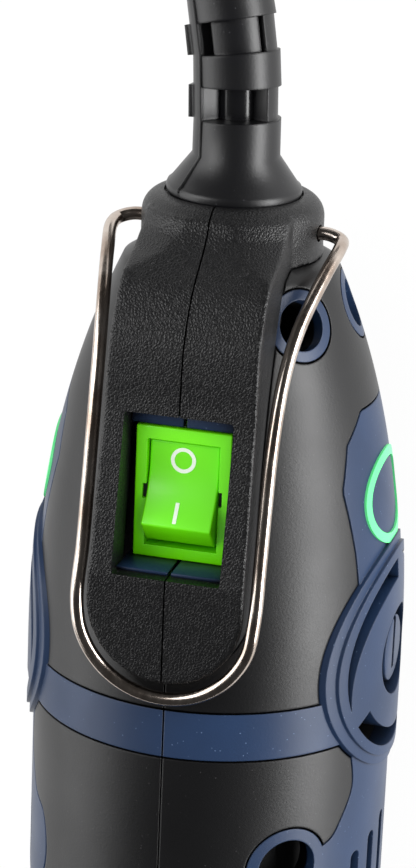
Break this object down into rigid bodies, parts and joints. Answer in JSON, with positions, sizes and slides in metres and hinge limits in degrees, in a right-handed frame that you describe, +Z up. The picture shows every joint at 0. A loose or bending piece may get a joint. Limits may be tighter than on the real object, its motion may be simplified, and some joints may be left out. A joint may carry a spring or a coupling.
{
  "type": "corded rotary tool",
  "caption": "Corded handheld rotary tool with a rear switch pod, wire hanging bail, side vents, nose collet and folded mains lead.",
  "frame": {"origin": "middle of the tool's length and width, on the surface that it lies on; the lead, its strain relief and its plug are not counted", "axes": "+X along the spindle towards the nose, +Z up through the switch, +Y towards the pieces named right, which lie on the right as the tool is seen from its nose with the switch up"},
  "size_m": [0.4597, 0.0721, 0.0604],
  "materials": {
    "blue_shell": "satin moulded nylon, slate blue",
    "soft_black": "matte soft-touch overmould",
    "grain_black": "leather-grained black plastic",
    "black_plastic": "smooth black plastic",
    "green_plastic": "glossy green switch plastic",
    "bright_steel": "bright drawn or ground steel",
    "dark_steel": "dull steel",
    "brass": "plain brass",
    "copper": null,
    "carbon": null,
    "rubber": "moulded soft PVC or rubber, satin",
    "cable": "smooth black cable sheath",
    "circuit_board": "green glass-fibre board",
    "amber_plastic": "moulded capacitor case",
    "fabric_tie": "black hook-and-loop tape"
  },
  "bodies": {
    "housing": {"left_shell": "blue_shell", "right_shell": "blue_shell", "left_rear_overmould": "soft_black", "right_rear_overmould": "soft_black", "left_front_grip": "soft_black", "right_front_grip": "soft_black", "left_switch_pod": "grain_black", "right_switch_pod": "grain_black", "left_brush_holder": "brass", "right_brush_holder": "brass", "left_carbon_brush": "carbon", "right_carbon_brush": "carbon", "left_brush_spring": "bright_steel", "right_brush_spring": "bright_steel", "left_brush_cap": "blue_shell", "right_brush_cap": "blue_shell", "nose_cap": "black_plastic", "spindle_lock_spring": "bright_steel", "rear_bearing": "bright_steel", "rear_bearing_boot": "rubber", "front_bearing": "bright_steel", "stator_core": "dark_steel", "upper_field_coil": "copper", "lower_field_coil": "copper", "switch_body": "green_plastic", "rear_switch_terminal": "brass", "front_switch_terminal": "brass", "speed_board": "circuit_board", "suppression_capacitor": "amber_plastic", "screw_rear_lower": "dark_steel", "screw_rear_middle": "dark_steel", "screw_front_upper": "dark_steel", "screw_front_lower": "dark_steel", "screw_nose_lower": "dark_steel", "cord_clamp": "black_plastic", "clamp_screw_upper": "dark_steel", "clamp_screw_lower": "dark_steel", "strain_relief": "rubber", "cord": "cable", "cord_hank": "cable", "cord_tail": "cable", "hank_tie": "fabric_tie", "mains_plug": "rubber", "plug_pin_a": "brass", "plug_pin_b": "brass"},
    "spindle": {"armature_shaft": "bright_steel", "armature_core": "dark_steel", "armature_winding": "copper", "commutator": "copper", "cooling_fan": "black_plastic", "collet": "bright_steel"},
    "collet_nut": {"collet_nut": "dark_steel"},
    "rocker": {"switch_rocker": "green_plastic"},
    "bail": {"hanging_bail": "bright_steel"},
    "lock_button": {"spindle_lock_button": "grain_black"},
    "speed_dial": {"speed_dial": "black_plastic"}
  },
  "joints": [
    {"name": "spindle_spin", "type": "hinge", "parent": "housing", "child": "spindle", "pos_m": [0, 0, 0.0284], "axis": [1, 0, 0], "continuous": true},
    {"name": "collet_nut_turn", "type": "hinge", "parent": "spindle", "child": "collet_nut", "pos_m": [0.093, 0, 0.0284], "axis": [1, 0, 0], "range_deg": [0, 720]},
    {"name": "rocker_tip", "type": "hinge", "parent": "housing", "child": "rocker", "pos_m": [-0.06185, 0, 0.0488], "axis": [0, 1, 0], "range_deg": [0, 22]},
    {"name": "bail_swing", "type": "hinge", "parent": "housing", "child": "bail", "pos_m": [-0.09885, 0, 0.0294], "axis": [0, -1, 0], "range_deg": [0, 155]},
    {"name": "lock_press", "type": "slide", "parent": "housing", "child": "lock_button", "axis": [0, 0, -1], "range_m": [0, 0.003], "stiffness_N_per_m": 400, "deforming": ["spindle_lock_spring"]},
    {"name": "speed_dial_turn", "type": "hinge", "parent": "housing", "child": "speed_dial", "pos_m": [-0.06885, 0, 0.0121], "axis": [0, 1, 0], "range_deg": [0, 270]}
  ]
}
